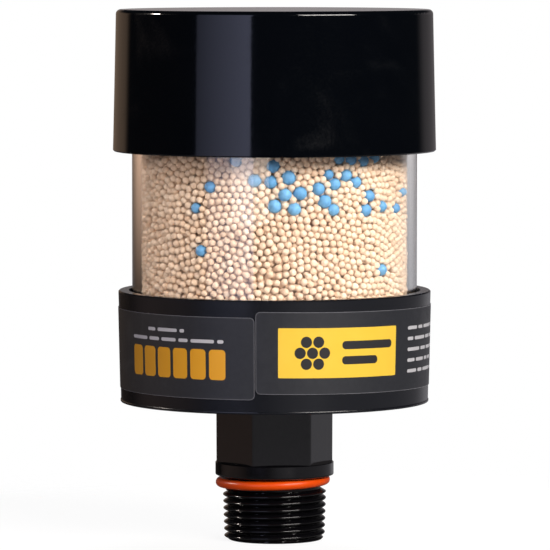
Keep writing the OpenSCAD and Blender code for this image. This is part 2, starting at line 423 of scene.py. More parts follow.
# The film's printed ground: charcoal under a satin varnish that lies in fine ripples.
LABEL_GROUND = MouldedPlastic(
    "screen_printed_charcoal_ground", "#23252a", "#2c2e33", roughness=0.42, roughness_spread=0.04, ior=1.54,
    wave_mm=1.6, wave_depth_mm=0.024, grain_mm=0.5, grain_depth_mm=0.001, smudge_mm=9, smudge=0.08,
)

# Screen-printed inks under the same varnish: flat colours with a faint satin shine.
YELLOW_INK = printed_ink("yellow", "#fbce3e", "#fdd54b")
AMBER_INK = printed_ink("amber", "#eba41e", "#efac2a")
WHITE_INK = printed_ink("white", "#c9c9cd", "#d2d2d6")
DARK_INK = printed_ink("dark", "#2b2a2c", "#302f31")

# Polycarbonate, moulded: water clear, with flow lines drawn coarser than they are.
TUBE_POLYCARBONATE = ClearTubing(
    "moulded_polycarbonate", "#f7f9f8", ior=1.585, line_mm=2.5, line_length_mm=80, line_depth_mm=0.004,
)

# Silica gel, rolled and dried: cream beads with a dull satin skin, and the dyed ones that show the charge.
CREAM_GEL = GelBeads(
    "rolled_silica_gel", "#e9d3bd", "#dabb9f", roughness=0.5, ior=1.46, cloud_mm=0.9, cloud_share=0.3,
)
BLUE_GEL = GelBeads(
    "dyed_silica_gel", "#6fa9d2", "#4b8bc0", roughness=0.58, ior=1.46, cloud_mm=1.2, cloud_share=0.4,
)

# The mass of gel behind the first beads: domes of a bead's size, with painted shade darkening the gaps
# between them.
GEL_MASS_PAINTED_GAP_SHADE = CellSurface(
    "packed_silica_gel_painted_gap_shade", "#e6c9ab", "#7a5a40", cell_mm=2.4, depth_mm=1.2, domed=True, roughness=0.6, ior=1.46,
)

# Polyurethane foam, cast and cut: charcoal, with open cells drawn coarser than they are, and painted shade
# darkening the hollow of each cell.
FOAM = CellSurface(
    "cut_open_cell_foam_painted_pore_shade", "#161617", "#4a4a4c", cell_mm=1.1, depth_mm=0.5, domed=False, roughness=0.9,
    ior=1.5, sheen=0.1,
)

# Polyester felt, needled: white, with a fuzz of short fibres and painted shade darkening the hollow of each
# pore.
FELT = CellSurface(
    "needled_polyester_felt_painted_pore_shade", "#c9c7be", "#f4f3ee", cell_mm=0.6, depth_mm=0.2, domed=False, roughness=0.9,
    ior=1.5, sheen=0.4,
)


def box_mm(node: str) -> tuple[np.ndarray, np.ndarray]:
    """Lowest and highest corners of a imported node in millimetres."""
    low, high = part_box(node)
    return np.array(low) / MM, np.array(high) / MM


def mesh_piece(name: str, points: np.ndarray, faces: list[list[int]], sharp_degrees: float) -> Object:
    """Make a smooth-shaded mesh object.

    Args:
        name: The piece's name.
        points: Points in millimetres.
        faces: Lists of point indices.
        sharp_degrees: Edges that bend more than this stay sharp.

    Returns:
        The object, linked to the scene.
    """
    mesh = bpy.data.meshes.new(name)
    mesh.from_pydata((points * MM).tolist(), [], faces)
    mesh.update()
    mesh.shade_smooth()
    mesh.set_sharp_from_angle(angle=math.radians(sharp_degrees))
    piece = bpy.data.objects.new(name, mesh)
    bpy.context.scene.collection.objects.link(piece)
    return piece


def even_turns(count: int) -> np.ndarray:
    """Directions in radians that share out a full turn."""
    return np.arange(count) * math.tau / count


def round_axis(radius: np.ndarray | float, turns: np.ndarray, height: np.ndarray | float) -> np.ndarray:
    """Points round the object's axis.

    Args:
        radius: Distance from the axis, one for all points or one for each.
        turns: Directions round the axis in radians.
        height: Height, one for all points or one for each.

    Returns:
        One point for each direction.
    """
    level = np.broadcast_to(height, turns.shape)
    return np.stack([radius * np.cos(turns), radius * np.sin(turns), level], axis=1)


def ring_piece(name: str, rings: list[np.ndarray], sharp_degrees: float) -> Object:
    """Make a mesh object of rings of points, where the last ring joins the first.

    Args:
        name: The piece's name.
        rings: Rings of points in millimetres, each with the same number of points.
        sharp_degrees: Edges that bend more than this stay sharp.

    Returns:
        The object, linked to the scene.
    """
    columns = len(rings[0])
    faces = []
    for i in range(len(rings)):
        low = i * columns
        high = (i + 1) % len(rings) * columns
        for j in range(columns):
            k = (j + 1) % columns
            faces.append([low + j, low + k, high + k, high + j])
    return mesh_piece(name, np.concatenate(rings), faces, sharp_degrees)


def place(piece: Object, finish: Material, slot: Slot, *nodes: str) -> Object:
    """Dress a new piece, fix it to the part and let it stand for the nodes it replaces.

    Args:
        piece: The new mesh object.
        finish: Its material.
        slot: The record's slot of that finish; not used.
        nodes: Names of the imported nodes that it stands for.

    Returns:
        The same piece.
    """
    piece.data.materials.append(finish)
    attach(piece, BODY)
    if nodes:
        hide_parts(*nodes)
    log.info("%s: %d faces", piece.name, len(piece.data.polygons))
    return piece


@dataclass
class Housing:
    """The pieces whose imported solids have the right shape: cap, tube, cup, seal and standpipe."""

    nodes: dict[str, Object]
    ridge_z: float = 0.52
    ridge_half_height: float = 0.45
    ridge_depth: float = 0.19
    ridge_unevenness: float = 0.3
    ridge_bends: int = 16
    ridge_columns: int = 384

    def build(self) -> None:
        """Give each kept solid its finish, let lamps through the clear tube and add the parting line."""
        finishes = {
            "top_cap": CAP_ABS,
            "base_cup": CUP_ABS,
            "sight_tube": TUBE_POLYCARBONATE,
            "o_ring": SEAL_SILICONE,
            "standpipe": PIPE_PVC,
        }
        for node, finish in finishes.items():
            slots = self.nodes[node].data.materials
            slots.clear()
            slots.append(finish.material())
            log.info("%s: packed solid, %s", node, finish.name)
        self.nodes["sight_tube"].visible_shadow = False
        self.parting_line()

    def parting_line(self) -> Object:
        """The fine ridge that the mould's parting leaves above the cup's lower edge.

        Returns:
            The ridge, half sunk in the cup's wall.
        """
        low, high = box_mm("base_cup")
        level = low[2] + self.ridge_z
        middle_r = high[0] - (high[2] - level) * DRAFT_SLOPE
        turns = even_turns(self.ridge_columns)
        rng = default_rng(SEED)
        depth = self.ridge_depth * (1 - self.ridge_unevenness * rng.uniform(0, 1, self.ridge_columns))
        rings = [
            round_axis(
                middle_r + depth * math.cos(bend), turns, level + self.ridge_half_height * math.sin(bend)
            )
            for bend in even_turns(self.ridge_bends)
        ]
        return place(ring_piece("cup_parting_line", rings, NO_SHARP_EDGE), CUP_ABS.material(), Slot.CUP)


@dataclass
class ThreadedStud:
    """The hollow stud: taper thread, neck, flange, hexagon and the spigot that enters the cup."""

    flange_r: float
    hex_top_z: float
    top_z: float
    thread_d: float = 32.6
    thread_len: float = 15.6
    taper: float = 0.0625
    pitch: float = 2.24
    thread_depth: float = 1.7
    crest_round: float = 0.6
    front_crest_z: float = 1.7
    end_bevel: float = 1.0
    run_out_slope: float = math.sqrt(3)
    neck_r: float = 14.9
    flange_z: float = 20.95
    flange_h: float = 4.35
    flange_bevel_r: float = 0.4
    flange_bevel_h: float = 0.3
    hex_af: float = 33.0
    hex_turn: float = 247.8
    hex_inset: float = 0.22
    fillet: float = 0.5
    fillet_bend: float = 0.15
    edge: float = 0.2
    bore_r: float = 10.45
    socket_r: float = 13.45
    socket_floor_t: float = 1.0
    spigot_r: float = 15.25
    columns: int = 288
    steps_per_pitch: int = 18
    sharp_degrees: float = 28.0

    def thread_radius(self, z: float, turns: np.ndarray) -> np.ndarray:
        """Radius of the thread's surface round one level.

        Args:
            z: Height of the level.
            turns: Directions round the axis in radians.

        Returns:
            The radius in each direction.
        """
        crest = self.thread_d / 2 + z * self.taper / 2
        place_in_pitch = (z - self.front_crest_z) / self.pitch - (turns - FRONT) / math.tau
        from_crest = 1 - 2 * np.abs(place_in_pitch % 1 - 0.5)
        fall = np.hypot(from_crest, self.crest_round) - self.crest_round
        thread = crest - self.thread_depth * fall / (math.hypot(1, self.crest_round) - self.crest_round)
        bevel = self.thread_d / 2 - self.end_bevel + z
        run_out = crest - max(0.0, z - self.thread_len) * self.run_out_slope
        return np.maximum(np.minimum(thread, min(bevel, run_out)), min(self.neck_r, bevel))

    def outline(self, turns: np.ndarray) -> list[tuple[np.ndarray | float, float]]:
        """Walk round the stud's section, from the bore's mouth over the outside and back down the bore.

        Args:
            turns: Directions round the axis in radians.

        Returns:
            Radius and height of each ring of points.
        """
        full_r = self.thread_d / 2 + self.thread_len * self.taper / 2
        neck_z = self.thread_len + (full_r - self.neck_r) / self.run_out_slope
        bevel_z = self.flange_z + self.flange_bevel_h
        bevel_r = self.flange_r - self.flange_bevel_r
        hex_z = self.flange_z + self.flange_h
        sixth = math.tau / 6
        from_flat = (turns - math.radians(self.hex_turn)) % sixth - sixth / 2
        hex_r = self.hex_af / 2 / np.cos(from_flat)
        hex_top = self.hex_top_z
        socket_z = hex_top + self.socket_floor_t
        levels = np.arange(0, neck_z, self.pitch / self.steps_per_pitch)
        return [
            (self.bore_r + self.edge, 0.0),
            *[(self.thread_radius(z, turns), float(z)) for z in levels],
            (self.neck_r, neck_z),
            (self.neck_r, self.flange_z - self.fillet),
            (self.neck_r + self.fillet_bend, self.flange_z - self.fillet_bend),
            (self.neck_r + self.fillet, self.flange_z),
            (bevel_r - self.edge, self.flange_z),
            (bevel_r + self.edge / 2, self.flange_z + self.edge / 2),
            (self.flange_r - self.edge / 2, bevel_z - self.edge / 2),
            (self.flange_r, bevel_z + self.edge),
            (self.flange_r, bevel_z + 2 * self.edge),
            (self.flange_r, hex_z - self.edge),
            (self.flange_r - self.edge, hex_z),
            (np.minimum(hex_r, self.flange_r - self.hex_inset), hex_z),
            (hex_r, hex_top - self.edge),
            (hex_r - self.edge, hex_top),
            (self.spigot_r, hex_top),
            (self.spigot_r, self.top_z - self.edge),
            (self.spigot_r - self.edge, self.top_z),
            (self.socket_r + self.edge, self.top_z),
            (self.socket_r, self.top_z - self.edge),
            (self.socket_r, socket_z),
            (self.bore_r, socket_z),
            (self.bore_r, self.edge),
        ]

    def build(self) -> Object:
        """Build the stud as one closed skin.

        Returns:
            The stud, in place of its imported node.
        """
        turns = math.radians(self.hex_turn) + even_turns(self.columns)
        rings = [round_axis(radius, turns, height) for radius, height in self.outline(turns)]
        stud = ring_piece("stud", rings, self.sharp_degrees)
        return place(stud, STUD_NYLON.material(), Slot.STUD, "threaded_stud")


@dataclass(frozen=True)
class Field:
    """A rounded field on the label: where it starts along the wrap and below the upper edge, and its size."""

    run: float
    down: float
    width: float
    height: float
    corner: float


@dataclass
class LabelWrap:
    """The label that wraps the cup once, with its printed fields, each a thin film on the one below."""

    rim_r: float
    rim_z: float
    height: float = 26.0
    film_t: float = 0.13
    glue_t: float = 0.05
    ink_t: float = 0.02
    # Width of the film's bare pale rim round the ground, which shows as a painted highlight along the label's
    # edges.
    edge: float = 0.17
    drop: float = 3.5
    skew: float = 1.9
    skew_degrees: float = 270.0
    seam_degrees: float = 263.0
    seam_gap: float = 0.4
    corner: float = 1.5
    corner_steps: int = 8
    step: float = 1.2
    step_decimals: int = 5
    sharp_degrees: float = 40.0
    panel: Field = Field(run=7.1, down=5.0, width=42.8, height=15.8, corner=0.4)
    dot_d: float = 3.6
    dot_spacing: float = 4.0
    dots_round: int = 6
    dots_run: float = 11.0
    bars: tuple[Span, ...] = ((4.2, 19.6), (9.0, 13.4))
    bars_run: float = 21.0
    bar_h: float = 2.6
    bar_corner: float = 1.2
    lines_run: float = 56.6
    lines_down: float = 5.6
    line_spacing: float = 3.45
    line_h: float = 1.1
    line_corner: float = 0.5
    line_lengths: tuple[float, ...] = (31.0, 26.0, 29.0, 22.0, 27.0)
    heading_rows: tuple[tuple[float, float, float], ...] = ((9.0, 4.2, 16.0), (0.0, 7.2, 39.0))
    dashes: tuple[float, ...] = (6.2, 3.6, 8.4, 4.8)
    dash_gap: float = 1.1
    far_length: float = 49.0
    block: Field = Field(run=0.0, down=10.3, width=5.6, height=9.6, corner=1.2)
    block_spacing: float = 6.8
    block_count: int = 6

    def wall_point(self, run: np.ndarray, down: np.ndarray, lift: float) -> np.ndarray:
        """Points over the cup's wall.

        Args:
            run: Distances along the wrap from its start.
            down: Distances below the label's upper edge.
            lift: Distance out from the cup's wall.

        Returns:
            One point for each pair of distances.
        """
        turn = (run + self.seam_gap / 2) / self.rim_r
        sunk = np.minimum(turn / math.radians(self.skew_degrees), 1) * math.pi / 2
        below_rim = self.drop + self.skew * np.sin(sunk) + down
        radius = self.rim_r - below_rim * DRAFT_SLOPE + lift
        return round_axis(radius, math.radians(self.seam_degrees) + turn, self.rim_z - below_rim)

    def film(self, shape: Field, lift: float, thickness: float) -> tuple[np.ndarray, list[list[int]]]:
        """A thin closed film with rounded corners.

        Args:
            shape: The film's outline on the label.
            lift: Distance from the cup's wall to the film's back.
            thickness: Thickness of the film.

        Returns:
            Points and faces.
        """
        arc = shape.corner * (1 - np.cos(np.linspace(0, math.pi / 2, self.corner_steps)))
        flat = max(2, math.ceil((shape.width - 2 * shape.corner) / self.step))
        middle = np.linspace(shape.corner, shape.width - shape.corner, flat + 1)
        across = np.unique(np.concatenate([arc, middle, shape.width - arc]).round(self.step_decimals))
        from_end = np.clip(np.minimum(across, shape.width - across), 0, shape.corner)
        inset = shape.corner - np.sqrt(np.clip(shape.corner ** 2 - (shape.corner - from_end) ** 2, 0, None))
        inset = np.minimum(inset, shape.height / 2 - self.ink_t)
        upper = shape.down + inset
        lower = shape.down + shape.height - inset
        run = shape.run + across
        section = [
            self.wall_point(run, upper, lift + thickness),
            self.wall_point(run, lower, lift + thickness),
            self.wall_point(run, lower, lift),
            self.wall_point(run, upper, lift),
        ]
        sides = len(section)
        last = sides * (len(run) - 1)
        faces = [[0, 3, 2, 1], [last, last + 1, last + 2, last + 3]]
        for i in range(0, last, sides):
            for j in range(sides):
                k = (j + 1) % sides
                faces.append([i + j, i + k, i + sides + k, i + sides + j])
        return np.stack(section, axis=1).reshape(-1, 3), faces

    def films(self, name: str, shapes: list[Field], lift: float, thickness: float) -> Object:
        """Several films as one piece.

        Args:
            name: The piece's name.
            shapes: Outlines on the label.
            lift: Distance from the cup's wall to the films' backs.
            thickness: Thickness of the films.

        Returns:
            The piece.
        """
        points = []
        faces = []
        count = 0
        for shape in shapes:
            film_points, film_faces = self.film(shape, lift, thickness)
            points.append(film_points)
            faces += [[count + i for i in face] for face in film_faces]
            count += len(film_points)
        return mesh_piece(name, np.concatenate(points), faces, self.sharp_degrees)

    def wrap_length(self) -> float:
        """Length of the wrap from end to end."""
        return math.tau * self.rim_r - self.seam_gap

    def far_run(self) -> float:
        """Where the print at the wrap's far end starts."""
        return self.wrap_length() - self.far_length

    def mark_fields(self) -> list[Field]:
        """The panel's marks.

        Returns:
            A dot with a ring of dots round it, and two bars beside them.
        """
        run = self.panel.run + self.dots_run - self.dot_d / 2
        down = self.panel.down + self.panel.height / 2 - self.dot_d / 2
        centres = [(0.0, 0.0)]
        for turn in even_turns(self.dots_round):
            centres.append((self.dot_spacing * math.cos(turn), self.dot_spacing * math.sin(turn)))
        dots = [Field(run + x, down + y, self.dot_d, self.dot_d, self.dot_d / 2) for x, y in centres]
        bars = [
            Field(self.panel.run + self.bars_run, self.panel.down + below, width, self.bar_h, self.bar_corner)
            for below, width in self.bars
        ]
        return dots + bars

    def line_fields(self) -> list[Field]:
        """White lines of dashes, right of the panel and at the wrap's far end.

        Returns:
            A field for each dash.
        """
        far = self.far_run()
        rows = [
            (self.lines_run, self.lines_down + self.line_spacing * i, length)
            for i, length in enumerate(self.line_lengths)
        ]
        rows += [(far + run, down, length) for run, down, length in self.heading_rows]
        fields = []
        for index, (run, down, length) in enumerate(rows):
            at = 0.0
            turn = index
            while at < length:
                dash = min(self.dashes[turn % len(self.dashes)], length - at)
                if dash > self.line_h:
                    fields.append(Field(run + at, down, dash, self.line_h, self.line_corner))
                at += dash + self.dash_gap
                turn += 1
        return fields

    def block_fields(self) -> list[Field]:
        """A row of amber blocks at the wrap's far end."""
        far = self.far_run()
        return [replace(self.block, run=far + self.block_spacing * i) for i in range(self.block_count)]

    def build(self) -> None:
        """Build the label and its print."""
        back = self.glue_t + self.film_t
        face = back + self.ink_t
        length = self.wrap_length()
        whole = Field(0.0, 0.0, length, self.height, self.corner)
        # The ground stops short of the film's edge, so that the film's pale rim shows round it: a painted
        # highlight along the label's edges.
        inner = Field(
            self.edge, self.edge, length - 2 * self.edge, self.height - 2 * self.edge, self.corner - self.edge
        )
        film = self.films("label_film", [whole], self.glue_t, self.film_t)
        place(film, LABEL_FILM_PAINTED_EDGE_HIGHLIGHT.material(), Slot.LABEL, "label")
        layers = [
            ("label_ground", [inner], back, LABEL_GROUND),
            ("label_panel", [self.panel], face, YELLOW_INK),
            ("label_marks", self.mark_fields(), face + self.ink_t, DARK_INK),
            ("label_lines", self.line_fields(), face, WHITE_INK),
            ("label_blocks", self.block_fields(), face, AMBER_INK),
        ]
        for name, shapes, lift, ink in layers:
            place(self.films(name, shapes, lift, self.ink_t), ink.material(), Slot.LABEL)


@dataclass
class BeadFill:
    """The desiccant: the beads that lie against the tube, the beads behind them, and the mass within."""

    wall_r: float
    core_r: float
    low_z: float
    high_z: float
    window_low_z: float
    window_high_z: float
    window_margin: float = 5.0
    bead_d: float = 2.3
    size_spread: float = 0.045
    size_limit: float = 2.0
    shape_spread: float = 0.02
    shape_limit: float = 1.5
    shape_room: float = 2.0
    depth_spread: float = 0.3
    wall_slack: float = 0.14
    wall_cover: float = 0.86
    inner_cover: float = 0.82
    blue_growth: float = 1.05
    inner_depth: float = 1.5
    core_depth: float = 3.2
    core_columns: int = 128
    core_sharp_degrees: float = 30.0
    wall_pieces: int = 4
    wall_grid: tuple[int, int] = (12, 7)
    blue_grid: tuple[int, int] = (32, 20)
    inner_grid: tuple[int, int] = (8, 5)
    rounds: int = 420
    warm_share: float = 0.6
    shake: float = 0.14
    push_share: float = 0.45
    least_distance: float = 1e-6
    pair_reach: float = 2.6
    rounds_per_search: int = 5
    search_depth: int = 70
    weld: float = 0.01

    def span(self) -> tuple[float, float]:
        """Heights between which the beads are made one by one."""
        return self.window_low_z - self.window_margin, self.window_high_z + self.window_margin

    def indicator_spheres(self, node: Object) -> tuple[np.ndarray, np.ndarray]:
        """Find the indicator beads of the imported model.

        Args:
            node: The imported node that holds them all.

        Returns:
            Their centres and their radii in millimetres.
        """
        mesh = bmesh.new()
        mesh.from_mesh(node.data)
        bmesh.ops.remove_doubles(mesh, verts=mesh.verts, dist=self.weld * MM)
        mesh.verts.index_update()
        waiting = np.ones(len(mesh.verts), bool)
        centres = []
        radii = []
        for start in mesh.verts:
            if not waiting[start.index]:
                continue
            waiting[start.index] = False
            reached = [start]
            for vert in reached:
                for edge in vert.link_edges:
                    other = edge.other_vert(vert)
                    if waiting[other.index]:
                        waiting[other.index] = False
                        reached.append(other)
            points = np.array([vert.co for vert in reached]) / MM
            low = points.min(axis=0)
            high = points.max(axis=0)
            centres.append((low + high) / 2)
            radii.append((high - low).max() / 2)
        mesh.free()
        return np.array(centres), np.array(radii)

    def near_pairs(self, spots: np.ndarray, reach: float, width: float) -> np.ndarray:
        """Pairs of spots close to one another on the unrolled wall.

        Args:
            spots: Places along and up the wall.
            reach: The greatest distance of a pair.
            width: Length of the wall round the tube, where it meets itself.

        Returns:
            Two rows of indices.
        """
        order = np.argsort(spots[:, 0] % width)
        ahead = np.arange(1, self.search_depth)
        first = np.repeat(order, len(ahead))
        second = order[(np.arange(len(order))[:, None] + ahead) % len(order)].ravel()
        along = spots[first, 0] - spots[second, 0]
        along -= width * np.round(along / width)
        up = spots[first, 1] - spots[second, 1]
        close = along ** 2 + up ** 2 < reach ** 2
        return np.stack([first[close], second[close]])

    def settle(
        self, rng: Generator, spots: np.ndarray, radii: np.ndarray, fixed: int, wall: Span
    ) -> np.ndarray:
        """Shake the beads, ever less, and push them apart until they lie side by side on the unrolled wall.

        Args:
            rng: Source of the shaking.
            spots: Places along and up the wall, the fixed ones first.
            radii: The beads' radii.
            fixed: How many beads stay where they are.
            wall: Length of the wall round the tube, and its height.

        Returns:
            The settled places.
        """
        width, height = wall
        held = spots[:fixed].copy()
        pairs = np.zeros((2, 0), int)
        for turn in range(self.rounds):
            if turn % self.rounds_per_search == 0:
                pairs = self.near_pairs(spots, self.pair_reach * radii.max(), width)
            warmth = max(0.0, 1 - turn / (self.warm_share * self.rounds))
            spots += rng.standard_normal(spots.shape) * self.shake * self.bead_d * warmth
            first, second = pairs
            apart = spots[second] - spots[first]
            apart[:, 0] -= width * np.round(apart[:, 0] / width)
            distance = np.hypot(apart[:, 0], apart[:, 1]) + self.least_distance
            side_by_side = (first < fixed) | (second < fixed)
            whole = radii[first] + radii[second]
            touching = np.where(side_by_side, whole, 2 * np.sqrt(radii[first] * radii[second]))
            overlap = np.clip(touching - distance, 0, None)
            push = apart * (overlap / distance * self.push_share)[:, None]
            np.add.at(spots, first, -push)
            np.add.at(spots, second, push)
            spots[:fixed] = held
            spots[fixed:, 1] = np.clip(spots[fixed:, 1], 0, height)
        return spots

    def layer(
        self, rng: Generator, cover: float, centres: np.ndarray, radii: np.ndarray
    ) -> tuple[np.ndarray, np.ndarray, np.ndarray]:
        """Pack one layer of beads against the wall, round the beads that are there already.

        Args:
            rng: Source of the starting places and sizes.
            cover: Share of the wall that the beads cover.
            centres: Centres of the beads that are there already.
            radii: Their radii.

        Returns:
            Direction, height and radius of each new bead.
        """
        foot, head = self.span()
        width = math.tau * (self.wall_r - self.bead_d / 2)
        height = head - foot
        taken = np.sum(math.pi * radii ** 2)
        count = int((width * height * cover - taken) / (math.pi * (self.bead_d / 2) ** 2))
        spread = np.clip(rng.standard_normal(count), -self.size_limit, self.size_limit)
        sizes = self.bead_d / 2 * (1 + self.size_spread * spread)
        loose = np.stack([rng.uniform(0, width, count), rng.uniform(0, height, count)], axis=1)
        turns = np.arctan2(centres[:, 1], centres[:, 0]) % math.tau
        held = np.stack([turns / math.tau * width, centres[:, 2] - foot], axis=1)
        spots = np.concatenate([held, loose])
        fixed = len(held)
        spots = self.settle(rng, spots, np.concatenate([radii, sizes]), fixed, (width, height))[fixed:]
        return spots[:, 0] / width * math.tau, spots[:, 1] + foot, sizes

    def unit_bead(self, segments: int, bands: int) -> tuple[np.ndarray, np.ndarray]:
        """A bead of radius one.

        Args:
            segments: Number of points round it.
            bands: Number of bands from pole to pole.

        Returns:
            Points and triangles.
        """
        tilts = np.arange(1, bands) * math.pi / bands
        rings = [round_axis(math.sin(tilt), even_turns(segments), math.cos(tilt)) for tilt in tilts]
        points = np.concatenate([[(0, 0, 1)], *rings, [(0, 0, -1)]])
        inside = np.arange(1, len(points) - 1).reshape(len(rings), segments)
        upper = np.concatenate([np.zeros((1, segments), int), inside])
        lower = np.concatenate([inside, np.full((1, segments), len(points) - 1)])
        next_upper = np.roll(upper, -1, axis=1)
        next_lower = np.roll(lower, -1, axis=1)
        standing = np.stack([upper, lower, next_lower], axis=-1)[:-1]
        hanging = np.stack([upper, next_lower, next_upper], axis=-1)[1:]
        return points, np.concatenate([standing, hanging]).reshape(-1, 3)

    def beads(
        self, name: str, rng: Generator, centres: np.ndarray, radii: np.ndarray, grid: tuple[int, int]
    ) -> Object:
        """Make one piece of many beads, each turned and shaped a little differently.

        Args:
            name: The piece's name.
            rng: Source of the turns and shapes.
            centres: The beads' centres.
            radii: Their radii.
            grid: Number of points round a bead, and of bands from pole to pole.

        Returns:
            The piece.
        """
        unit, faces = self.unit_bead(*grid)
        count = len(centres)
        axes, _ = np.linalg.qr(rng.standard_normal((count, 3, 3)))
        axes *= np.sign(np.linalg.det(axes))[:, None, None]
        spread = np.clip(rng.standard_normal((count, 1, 3)), -self.shape_limit, self.shape_limit)
        shaped = np.einsum("nvk,nkj->nvj", unit[None] * (1 + self.shape_spread * spread), axes)
        points = shaped * radii[:, None, None] + centres[:, None, :]
        indices = faces[None] + len(unit) * np.arange(count)[:, None, None]
        return mesh_piece(name, points.reshape(-1, 3), indices.reshape(-1, 3).tolist(), NO_SHARP_EDGE)

    def core(self) -> Object:
        """The mass of beads within.

        Returns:
            A ring of full width behind the cup and the cap, drawn in behind the window's beads.
        """
        low, high = self.span()
        waist = self.wall_r - self.core_depth
        outline = [
            (self.core_r, self.low_z),
            (self.wall_r, self.low_z),
            (self.wall_r, low - self.bead_d),
            (waist, low),
            (waist, high),
            (self.wall_r, high + self.bead_d),
            (self.wall_r, self.high_z),
            (self.core_r, self.high_z),
        ]
        turns = even_turns(self.core_columns)
        rings = [round_axis(radius, turns, height) for radius, height in outline]
        return ring_piece("bead_core", rings, self.core_sharp_degrees)

    def build(self, indicators: Object) -> None:
        """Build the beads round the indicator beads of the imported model.

        Args:
            indicators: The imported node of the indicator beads.
        """
        rng = default_rng(SEED)
        cream = CREAM_GEL.material()
        centres, radii = self.indicator_spheres(indicators)
        radii = radii * self.blue_growth
        turns, heights, sizes = self.layer(rng, self.wall_cover, centres, radii)
        turns = turns % math.tau
        sunk = self.depth_spread * np.abs(rng.standard_normal(len(sizes)))
        reach = self.wall_r + self.wall_slack - sizes * (1 + self.shape_room * self.shape_spread) - sunk
        wall = round_axis(reach, turns, heights)
        sector = (turns / math.tau * self.wall_pieces).astype(int)
        for index in range(self.wall_pieces):
            chosen = sector == index
            beads = self.beads(f"wall_beads_{index + 1}", rng, wall[chosen], sizes[chosen], self.wall_grid)
            place(beads, cream, Slot.BEADS)
        blue = self.beads("blue_beads", rng, centres, radii, self.blue_grid)
        place(blue, BLUE_GEL.material(), Slot.BLUE_BEADS, "indicator_beads")
        turns, heights, sizes = self.layer(rng, self.inner_cover, np.zeros((0, 3)), np.zeros(0))
        inner = round_axis(self.wall_r - sizes - self.inner_depth, turns, heights)
        place(self.beads("inner_beads", rng, inner, sizes, self.inner_grid), cream, Slot.BEADS)
        place(self.core(), GEL_MASS_PAINTED_GAP_SHADE.material(), Slot.BEADS, "desiccant_bed")


@dataclass
class FilterStack:
    """The soft discs above and below the beads, each a ring with rounded edges and an uneven face."""

    spigot_r: float
    pipe_r: float
    edge: float = 0.8
    unevenness: float = 0.12
    columns: int = 160
    rows: int = 10
    sharp_degrees: float = 60.0

    def disc(self, name: str, node: str, in_r: float, rng: Generator) -> Object:
        """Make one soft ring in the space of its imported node.

        Args:
            name: The piece's name.
            node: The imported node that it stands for.
            in_r: Radius of its hole.
            rng: Source of the unevenness.

        Returns:
            The ring.
        """
        low, high = box_mm(node)
        out_r = high[0]
        across = np.linspace(in_r + self.edge, out_r - self.edge, self.rows)
        outline = [
            (in_r, low[2] + self.edge),
            *[(r, low[2]) for r in across],
            (out_r, low[2] + self.edge),
            (out_r, high[2] - self.edge),
            *[(r, high[2]) for r in across[::-1]],
            (in_r, high[2] - self.edge),
        ]
        turns = even_turns(self.columns)
        middle = (low[2] + high[2]) / 2
        rings = []
        for r, z in outline:
            sunk = rng.uniform(0, self.unevenness, self.columns) * np.sign(middle - z)
            rings.append(round_axis(r, turns, z + sunk))
        return ring_piece(name, rings, self.sharp_degrees)

    def build(self) -> None:
        """Build the two foam pads and the two felt discs."""
        rng = default_rng(SEED)
        foam = FOAM.material()
        felt = FELT.material()
        discs = [
            ("foam_below", "bottom_foam_pad", self.spigot_r, foam, Slot.FOAM),
            ("felt_below", "bottom_filter_disc", self.pipe_r, felt, Slot.FELT),
            ("felt_above", "top_filter_disc", self.pipe_r, felt, Slot.FELT),
            ("foam_above", "top_foam_pad", self.pipe_r, foam, Slot.FOAM),
        ]
        for name, node, clear_r, finish, slot in discs:
            place(self.disc(name, node, clear_r + CLEARANCE, rng), finish, slot, node)


@dataclass(frozen=True)
class SoftBox:
    """A rectangular soft lamp that faces the object. Its azimuth is counted to the right of the camera."""

    name: str
    azimuth: float
    elevation: float
    distance: float
    width: float
    height: float
    power: float
    colour: str
    dim_edge: float = 1.0
    on_dull: bool = True
    in_gloss: bool = True

    def build(self, target: Vector) -> None:
        """Hang the lamp, brightest at one edge and dimmed towards the other.

        Args:
            target: The point that it faces.
        """
        lamp = bpy.data.lights.new(self.name, "AREA")
        lamp.shape = "RECTANGLE"
        lamp.size = self.width
        lamp.size_y = self.height
        lamp.energy = self.power
        lamp.color = linear(self.colour)[:3]
        lamp.use_nodes = True
        tree = lamp.node_tree
        tree.nodes.clear()
        across = add_node(tree, "NewGeometry").outputs["Parametric"]
        from_edge = add_node(tree, "SeparateXYZ", links={"Vector": across})
        level = add_node(
            tree, "MapRange", {"To Min": self.dim_edge, "To Max": 1.0}, {"Value": from_edge.outputs["X"]}
        )
        glow = add_node(tree, "Emission", links={"Strength": level.outputs[0]})
        add_node(tree, "OutputLight", links={"Surface": glow.outputs[0]})
        holder = bpy.data.objects.new(self.name, lamp)
        azimuth = math.radians(self.azimuth)
        elevation = math.radians(self.elevation)
        away = Vector((
            math.sin(azimuth) * math.cos(elevation),
            -math.cos(azimuth) * math.cos(elevation),
            math.sin(elevation),
        ))
        holder.location = target + away * self.distance
        holder.rotation_euler = away.to_track_quat("Z", "Y").to_euler()
        holder.visible_camera = False
        holder.visible_diffuse = self.on_dull
        holder.visible_glossy = self.in_gloss
        bpy.context.scene.collection.objects.link(holder)


